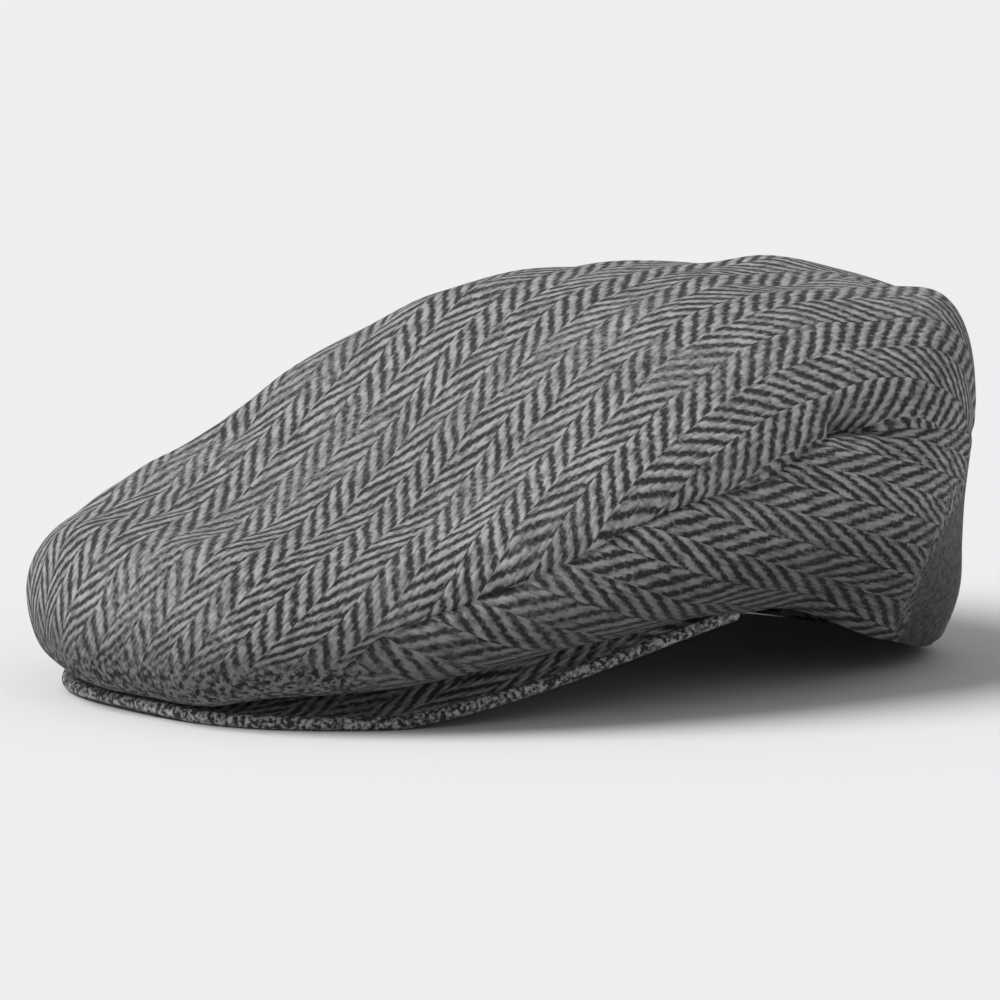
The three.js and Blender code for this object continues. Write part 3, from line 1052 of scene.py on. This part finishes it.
@dataclass
class CrownPanels:
    """The crown's cloth: one top panel, and a side panel on each hand.

    The columns stand column_step degrees apart, and corner_step where the seam is steep. The rows
    crowd towards the seam by row_power. The side panels lie level along the belt, one level of
    the crown, whose length gives their places towards the back.
    """

    shape: CrownShape
    placing: Placing
    wear_and_painted_shade: WearAndPaintedShade = field(default_factory=WearAndPaintedShade)
    column_step: float = 0.8
    corner_step: float = 0.3
    corner_gap: float = 0.12
    top_rows: int = 132
    side_rows: int = 78
    inner_rows: int = 26
    row_power: float = 1.45
    back_tightness: float = 0.7
    belt_level: float = 3.0
    belt_points: int = 300
    rib_points: int = 40

    @staticmethod
    def grid(
        angle: np.ndarray, low: np.ndarray, high: np.ndarray, shares: np.ndarray
    ) -> tuple[np.ndarray, np.ndarray]:
        """Give the angles and levels of a grid between two borders."""
        levels = low[:, None] + (high - low)[:, None] * shares[None, :]
        return np.broadcast_to(angle[:, None], levels.shape), levels

    @staticmethod
    def column_distance(points: np.ndarray, from_start: bool) -> np.ndarray:
        """Give each point's distance along its column, from the column's start or from its end."""
        steps = np.linalg.norm(np.diff(points, axis=1), axis=-1)
        zero = np.zeros((len(points), 1))
        if from_start:
            return np.concatenate([zero, np.cumsum(steps, axis=1)], axis=1)
        return np.concatenate([np.cumsum(steps[:, ::-1], axis=1)[:, ::-1], zero], axis=1)

    def seam_lift(self, angle: np.ndarray, level: np.ndarray, from_start: bool) -> np.ndarray:
        """Give the seam's relief over a grid whose seam lies at one end of its columns."""
        base = self.shape.smooth_point(angle, level)
        distance = self.column_distance(base, from_start)
        seam = base[:, 0] if from_start else base[:, -1]
        along = np.concatenate([[0], np.cumsum(np.linalg.norm(np.diff(seam, axis=0), axis=-1))])
        along = along - along[len(along) // 2]
        lift = self.shape.relief.lift(distance, np.broadcast_to(along[:, None], distance.shape))
        return lift * self.shape.relief.strength(angle)

    def back_seam(self, angle: np.ndarray) -> np.ndarray:
        """Give the groove's lift at the middle of the back, where the two sides are sewn together."""
        distance = np.radians(HALF_TURN - folded_angle(angle)) * BACK_REACH
        return self.shape.relief.lift(distance * self.back_tightness, np.zeros(distance.shape))

    def top(self) -> bpy.types.Object:
        """Build the top panel, which rolls under at the front as far as the head line."""
        half = column_angles(0.0, HALF_TURN, self.column_step, self.corner_step)
        angle = np.concatenate([-half[:0:-1], half[:-1]])
        sewn = folded_angle(angle) > CORNER_ANGLE
        low = np.where(sewn, self.shape.seam_level(angle), HEAD_LEVEL)
        high = np.full(len(angle), TOP_LEVEL)
        grids = []
        for rows, depth in ((self.top_rows, 0.0), (self.inner_rows, CLOTH)):
            shares = np.linspace(0, 1, rows) ** self.row_power
            angles, levels = self.grid(angle, low, high, shares)
            lift = self.seam_lift(angles, levels, True) * sewn[:, None]
            points = self.shape.surface(angles, levels, depth, lift * (depth == 0))
            base = self.shape.smooth_point(angles, levels)
            flat = TOP_LAY.lay(flat_about_pole(base))
            marks = self.wear_and_painted_shade.marks(base, angles, levels, np.zeros(levels.shape))
            grids.append((points, np.concatenate([flat, marks], -1)))
        (outer, outer_lay), (inner, inner_lay) = grids
        skin = Skin("cap_top", outer, inner, outer_lay, inner_lay, all_round=True)
        return skin.build(self.placing)

    def side(self, hand: Hand) -> bpy.types.Object:
        """Build a side panel, from the head line up to the seam.

        Args:
            hand: Which side of the wearer the panel is on.

        Returns:
            The panel's object.
        """
        corner = CORNER_ANGLE + self.corner_gap
        angle = column_angles(corner, HALF_TURN, self.column_step, self.corner_step)
        if hand is Hand.RIGHT:
            angle = -angle[::-1]
        low = np.full(len(angle), HEAD_LEVEL)
        high = self.shape.seam_level(angle)
        grids = []
        for rows, depth in ((self.side_rows, 0.0), (self.inner_rows, CLOTH)):
            shares = 1 - np.linspace(1, 0, rows) ** self.row_power
            angles, levels = self.grid(angle, low, high, shares)
            to_hem = self.column_distance(self.shape.smooth_point(angles, levels), True)
            lift = self.seam_lift(angles, levels, False) + self.shape.relief.hem(to_hem)
            lift = lift + self.back_seam(angles)
            points = self.shape.surface(angles, levels, depth, lift * (depth == 0))
            grids.append((points, self.side_lay(angles, levels, hand)))
        (outer, outer_lay), (inner, inner_lay) = grids
        skin = Skin(f"cap_side_{hand.name.lower()}", outer, inner, outer_lay, inner_lay)
        return skin.build(self.placing)

    def side_lay(self, angle: np.ndarray, level: np.ndarray, hand: Hand) -> np.ndarray:
        """Lay the weave and the marks on a side panel, level where the cap is level.

        Args:
            angle: Degrees from the front, for each point.
            level: The level of each point.
            hand: Which side the panel is on.

        Returns:
            Columns, repeats, felting and the share of tone that the painted shade leaves, for each point.
        """
        stops = np.linspace(CORNER_ANGLE, HALF_TURN, self.belt_points)
        belt = self.shape.smooth_point(hand.value * stops, np.full(len(stops), self.belt_level))
        steps = np.linalg.norm(np.diff(belt[:, :2], axis=0), axis=-1)
        back = np.interp(np.abs(angle), stops, np.concatenate([[0], np.cumsum(steps)]))
        points = self.shape.smooth_point(angle, level)
        rib_levels = np.linspace(HEAD_LEVEL, self.belt_level, self.rib_points)
        rib = self.shape.smooth_point(angle[:, :1], rib_levels[None, :])
        to_belt = self.column_distance(rib, True)[:, -1:]
        rim_gap = np.linalg.norm(points[:, :1] - rib[:, :1], axis=-1)
        up = self.column_distance(points, True) + rim_gap - to_belt + rib[:, -1:, 2]
        marks = self.wear_and_painted_shade.marks(points, angle, level, back)
        flat = SIDE_LAY.lay(np.stack([back, up], -1))
        return np.concatenate([flat, marks], -1)


@dataclass
class Peak:
    """The stiff peak, covered with cloth, with a rolled strip along its edge.

    Its edge stays inside the crown's reach by the setbacks, and its root inside the head line by
    the inset. In front the edge lies on the table with a slight arch, and past level_angle it
    climbs to the ear. Far_lift raises it on the far side, as the photo shows. Flare bends the
    plate down to its edge, and its ends thin out over end_taper degrees to the share end_thin.
    """

    placing: Placing
    setback: float = 8.0
    side_setback: float = 18.0
    squareness: float = 2.72
    thickness: float = 3.2
    inset: float = 3.5
    end_angle: float = 87.5
    flare: float = 1.45
    level_angle: float = 38.0
    arch: float = 2.0
    end_lift: float = 1.2
    rise_power: float = 1.7
    far_lift: float = 4.6
    far_angle: float = -50.0
    far_spread: float = 22.0
    end_taper: float = 9.0
    end_thin: float = 0.3
    gap: float = 0.45
    columns: int = 260
    rows: int = 44
    probe: float = 0.01
    roll_width: float = 3.0
    roll_height: float = 3.3
    roll_points: int = 240
    weave_column: float = 7.2
    weave_repeat: float = 7.5
    rim_felt: float = 0.6
    rim_start: float = 0.8

    def edge(self, angle: np.ndarray) -> np.ndarray:
        """Give the middle of the peak's thickness along its outer edge."""
        inside = self.thickness / 2
        turned = folded_angle(angle)
        side = HALF_WIDTH - self.side_setback - inside
        front = FRONT_REACH - self.setback - inside
        x, y = plan_point(angle, side, front, front, self.squareness, self.squareness)
        arch = self.arch * np.cos(np.minimum(turned / self.level_angle, 1) * math.pi / 2) ** 2
        climbed = np.maximum(turned - self.level_angle, 0) / (QUARTER_TURN - self.level_angle)
        ear_height = RINGS[0].heights[STATIONS.index(QUARTER_TURN)] * CROWN_HEIGHT
        rise = ear_height + self.end_lift
        far = self.far_lift * bell(angle - self.far_angle, self.far_spread)
        return np.stack([x, y, arch + far + rise * climbed**self.rise_power + inside], -1)

    def root(self, edge: np.ndarray) -> np.ndarray:
        """Give the middle of its thickness at the head line, straight behind each edge point."""
        line = RINGS[0]
        side = line.side * HALF_WIDTH - self.inset
        front = line.front * FRONT_REACH - self.inset
        slope = (np.abs(edge[..., 0]) * front) / (np.abs(edge[..., 1]) * side)
        angle = np.degrees(np.arctan(slope ** (line.square_front / 2)))
        signed = angle * np.sign(edge[..., 0])
        x, y = plan_point(signed, side, front, front, line.square_front, line.square_front)
        rim = smooth_value(STATIONS, line.heights, angle) * CROWN_HEIGHT
        return np.stack([x, y, rim - 2 * self.gap - self.thickness / 2], -1)

    def middle(self, angle: np.ndarray, share: np.ndarray) -> np.ndarray:
        """Give points of its middle surface, from the head line out to the edge."""
        edge = self.edge(angle)
        root = self.root(edge)
        points = root + (edge - root) * share[..., None]
        points[..., 2] = edge[..., 2] + (root[..., 2] - edge[..., 2]) * (1 - share) ** self.flare
        return points

    def face(self, turn: float) -> tuple[np.ndarray, np.ndarray]:
        """Give the points and the lay of one face, turn being 1 for the top and -1 for the underside."""
        angle = np.linspace(-self.end_angle, self.end_angle, self.columns)
        share = np.linspace(0, 1, self.rows)
        angles, shares = np.meshgrid(angle, share, indexing="ij")
        near = np.minimum(shares, 1 - self.probe)
        outward = unit(self.middle(angles, near + self.probe) - self.middle(angles, near))
        around = self.middle(angles + self.probe, shares) - self.middle(angles - self.probe, shares)
        upward = unit(np.cross(outward, around))
        upward = upward * np.sign(upward[..., 2:3])
        whole = smooth_step(0, self.end_taper, self.end_angle - np.abs(angles))
        half = (self.end_thin + (1 - self.end_thin) * whole) * self.thickness / 2
        points = self.middle(angles, shares) + upward * (turn * half)[..., None]
        points[..., 2] = np.maximum(points[..., 2], PRESSED + (PRESSED_GAP if turn > 0 else 0.0))
        felt = self.rim_felt * smooth_step(self.rim_start, 1.0, shares)
        columns = points[..., 0] / self.weave_column
        repeats = points[..., 1] / self.weave_repeat
        # The peak gets no painted shade: its share of tone stays whole
        return points, np.stack([columns, repeats, felt, np.ones(felt.shape)], -1)

    def plate(self) -> bpy.types.Object:
        """Build the covered plate."""
        top, top_lay = self.face(1.0)
        under, under_lay = self.face(-1.0)
        skin = Skin("cap_peak", top[:, ::-1], under[:, ::-1], top_lay[:, ::-1], under_lay[:, ::-1])
        return skin.build(self.placing)

    def roll(self, finish: bpy.types.Material) -> bpy.types.Object:
        """Build the rolled strip that follows the peak's outer edge.

        Args:
            finish: The strip's material.

        Returns:
            A plain mesh swept along the edge, clear of the table with its nubs.
        """
        sweep = RollSweep(self.roll_width * MILLIMETRE, self.roll_height * MILLIMETRE)
        path = self.edge(np.linspace(-self.end_angle, self.end_angle, self.roll_points))
        clear = PRESSED + self.roll_height / 2 + sweep.nubs / MILLIMETRE / 2
        path[..., 2] = np.maximum(path[..., 2], clear)
        links = [(k, k + 1) for k in range(len(path) - 1)]
        mesh = bpy.data.meshes.new("peak_roll_path")
        mesh.from_pydata([tuple(point) for point in self.placing.metres(path)], links, [])
        return sweep.apply(linked("peak_roll_path", mesh), "peak_roll", finish)


@dataclass(frozen=True)
class RollSweep:
    """Sweeps a round, slightly uneven roll of cloth along a path.

    The roll thins out to the share end_thin over the share taper of its length at each end.
    """

    width: float
    height: float
    rings: int = 620
    around: int = 18
    taper: float = 0.035
    end_thin: float = 0.3
    nubs: float = 0.4 * MILLIMETRE
    nub_grain: float = 900.0

    def tree(self) -> bpy.types.GeometryNodeTree:
        """Build the node tree, whose inputs are the roll's sizes and its material."""
        tree = bpy.data.node_groups.new("roll_sweep", "GeometryNodeTree")
        pen = NodePen(tree)
        pen.sockets("INPUT", "NodeSocketGeometry", "Geometry")
        pen.sockets("INPUT", "NodeSocketFloat", "Width", "Height", "Nubs")
        pen.sockets("INPUT", "NodeSocketMaterial", "Finish")
        pen.sockets("OUTPUT", "NodeSocketGeometry", "Geometry")
        given = pen.add("NodeGroupInput").outputs
        path = pen.run("GeometryNodeMeshToCurve", {"Mesh": given["Geometry"]})
        path = pen.run("GeometryNodeResampleCurve", {"Curve": path, "Count": self.rings})
        factor = pen.add("GeometryNodeSplineParameter").outputs["Factor"]
        to_end = pen.math("MINIMUM", factor, pen.math("SUBTRACT", 1.0, factor))
        thinning = {"Value": to_end, "From Max": self.taper, "To Min": self.end_thin}
        radius = pen.run("ShaderNodeMapRange", thinning, interpolation_type="SMOOTHSTEP")
        path = pen.run("GeometryNodeSetCurveRadius", {"Curve": path, "Radius": radius})
        circle = pen.run("GeometryNodeCurvePrimitiveCircle", {"Resolution": self.around, "Radius": 0.5})
        size = pen.run("ShaderNodeCombineXYZ", {"X": given["Width"], "Y": given["Height"], "Z": 1.0})
        profile = pen.run("GeometryNodeTransform", {"Geometry": circle, "Scale": size})
        sweep = {"Curve": path, "Profile Curve": profile, "Fill Caps": True}
        roll = pen.run("GeometryNodeCurveToMesh", sweep)
        noise = pen.run("ShaderNodeTexNoise", {"Scale": self.nub_grain})
        bumps = pen.math("MULTIPLY", pen.math("SUBTRACT", noise, 0.5), given["Nubs"])
        facing = pen.add("GeometryNodeInputNormal").outputs["Normal"]
        push = pen.run("ShaderNodeVectorMath", {"Vector": facing, "Scale": bumps}, operation="SCALE")
        roll = pen.run("GeometryNodeSetPosition", {"Geometry": roll, "Offset": push})
        roll = pen.run("GeometryNodeSetMaterial", {"Geometry": roll, "Material": given["Finish"]})
        pen.feed(pen.add("NodeGroupOutput").inputs["Geometry"], roll)
        return tree

    def apply(self, guide: bpy.types.Object, name: str, finish: bpy.types.Material) -> bpy.types.Object:
        """Run the tree on a path and give the swept roll as a plain mesh.

        Args:
            guide: The path's object, which is deleted afterwards.
            name: The new piece's name.
            finish: The roll's material.

        Returns:
            The roll's object.
        """
        values = {"Width": self.width, "Height": self.height, "Nubs": self.nubs, "Finish": finish}
        return grown(guide, self.tree(), values, name)


def grown(
    guide: bpy.types.Object, tree: bpy.types.GeometryNodeTree, values: dict, name: str
) -> bpy.types.Object:
    """Run a geometry tree on a guide and keep its result as a plain mesh.

    Args:
        guide: The object that carries the modifier, deleted afterwards.
        tree: The node tree.
        values: A value for each named input.
        name: The new piece's name.

    Returns:
        The new object, at the origin.
    """
    modifier = guide.modifiers.new("growth", "NODES")
    modifier.node_group = tree
    for item in tree.interface.items_tree:
        if item.item_type == "SOCKET" and item.in_out == "INPUT" and item.name in values:
            modifier[item.identifier] = values[item.name]
    evaluated = guide.evaluated_get(bpy.context.evaluated_depsgraph_get())
    mesh = bpy.data.meshes.new_from_object(evaluated)
    mesh.name = name
    shade_smooth(mesh)
    bpy.data.objects.remove(guide)
    return linked(name, mesh)


@dataclass(frozen=True)
class RolledYarn:
    """The nubbly face of the rolled strip, whose weave is too tight to read."""

    name: str = "rolled_edge_cloth"
    light: tuple[float, float, float, float] = (0.5, 0.5, 0.505, 1.0)
    dark: tuple[float, float, float, float] = (0.034, 0.034, 0.036, 1.0)
    nub_grain: float = 780.0
    nub_detail: float = 3.0
    nub_span: tuple[float, float] = (0.4, 0.66)
    hair_grain: float = 2400.0
    face: Wool = Wool(0.93, specular=0.12, sheen=0.12, relief=0.6 * MILLIMETRE, relief_strength=0.9)

    def material(self) -> bpy.types.Material:
        """Build the strip's material on Object coordinates."""
        material, shader, pen = new_material(self.name)
        place = pen.add("ShaderNodeTexCoord").outputs["Object"]
        nubs = pen.noise(place, self.nub_grain, self.nub_detail)
        colour = pen.blend(pen.step(nubs, *self.nub_span), self.dark, self.light)
        height = pen.math("ADD", nubs, pen.noise(place, self.hair_grain))
        self.face.finish(shader, pen, colour, height)
        return material


@dataclass(frozen=True)
class Viewpoint:
    """The camera at the photograph's viewing angle, its middle moved by a small shift."""

    azimuth: float = 52.0
    elevation: float = 6.5
    distance: float = 1.3
    pixels_per_metre: float = 3750.0
    picture: float = 1000.0
    sensor: float = 36.0
    target_head: tuple[float, float, float] = (0.0, -20.0, 50.0)
    target_pixel: tuple[float, float] = (520.0, 484.0)

    def build(self, placing: Placing) -> None:
        """Create the camera and make it the scene's own."""
        target = Vector(placing.metres(np.array(self.target_head)))
        turn = math.radians(self.azimuth)
        climb = math.radians(self.elevation)
        back = Vector(
            (math.sin(turn) * math.cos(climb), -math.cos(turn) * math.cos(climb), math.sin(climb))
        )
        data = bpy.data.cameras.new("camera")
        data.sensor_width = self.sensor
        data.lens = self.pixels_per_metre * self.distance / self.picture * self.sensor
        data.shift_x = 0.5 - self.target_pixel[0] / self.picture
        data.shift_y = self.target_pixel[1] / self.picture - 0.5
        camera = linked("camera", data)
        camera.location = target + back * self.distance
        camera.rotation_euler = (-back).to_track_quat("-Z", "Y").to_euler()
        bpy.context.scene.camera = camera


@dataclass
class Studio:
    """A plain pale floor under an even sky, with one broad soft light high in front of the cap.

    The light stands a little to the wearer's right, which is the left of the picture.
    """

    floor_size: float = 120.0
    floor_tone: float = 0.87
    floor_roughness: float = 0.95
    sky: float = 0.36
    key_from: tuple[float, float, float] = (-0.62, -1.25, 1.8)
    key_strength: float = 2.5
    key_spread: float = 38.0

    def build(self) -> None:
        """Lay the floor and set the lights."""
        half = self.floor_size / 2
        corners = [(-half, -half, 0), (half, -half, 0), (half, half, 0), (-half, half, 0)]
        mesh = bpy.data.meshes.new("floor")
        mesh.from_pydata(corners, [], [(0, 1, 2, 3)])
        floor = linked("floor", mesh)
        paint, surface, _ = new_material("pale_floor")
        surface.inputs["Base Color"].default_value = (*[self.floor_tone] * 3, 1)
        surface.inputs["Roughness"].default_value = self.floor_roughness
        surface.inputs["Specular IOR Level"].default_value = 0.0
        mesh.materials.append(paint)
        floor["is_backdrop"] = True
        world = bpy.data.worlds.new("studio")
        world.use_nodes = True
        air = world.node_tree.nodes["Background"]
        air.inputs["Color"].default_value = (1, 1, 1, 1)
        air.inputs["Strength"].default_value = self.sky
        bpy.context.scene.world = world
        data = bpy.data.lights.new("key", "SUN")
        data.energy = self.key_strength
        data.angle = math.radians(self.key_spread)
        key = linked("key", data)
        key.location = self.key_from
        key.rotation_euler = Vector(self.key_from).to_track_quat("Z", "Y").to_euler()
        bpy.context.scene.view_settings.view_transform = "Standard"


@dataclass(frozen=True)
class Cut:
    """The flat size that a cloth panel was cut to, in metres."""

    width: float
    length: float
    area: float


def dress(piece: bpy.types.Object, node: str, finish: bpy.types.Material) -> None:
    """Give a piece its finish and let it stand for a CAD node.

    Args:
        piece: The piece, a closed mesh.
        node: The CAD node that it replaces.
        finish: Its material.
    """
    piece.data.materials.append(finish)
    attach(piece, "root")
    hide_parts(node)
    LOG.info("%s: %d points, stands for %s", piece.name, len(piece.data.vertices), node)


def main() -> None:
    """Build the cap, the studio and the camera, placed by the CAD model's size."""
    logging.basicConfig(level=logging.INFO, format="%(name)s: %(message)s")
    cad_low, cad_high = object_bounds()
    placing = Placing.from_frame(cad_low)
    weave = Herringbone().group()
    top_cloth = Tweed("herringbone_top", TOP_LAY.slant).material(weave)
    side_cloth = Tweed("herringbone_side", SIDE_LAY.slant).material(weave)
    panels = CrownPanels(CrownShape(), placing)
    dress(panels.top(), "crown_top", top_cloth)
    dress(panels.side(Hand.LEFT), "side_left", side_cloth)
    dress(panels.side(Hand.RIGHT), "side_right", side_cloth)
    peak = Peak(placing)
    dress(peak.plate(), "peak", side_cloth)
    roll = peak.roll(RolledYarn().material())
    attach(roll, "root")
    LOG.info("%s: %d points", roll.name, len(roll.data.vertices))
    Studio().build()
    Viewpoint().build(placing)


if __name__ == "__main__":
    main()
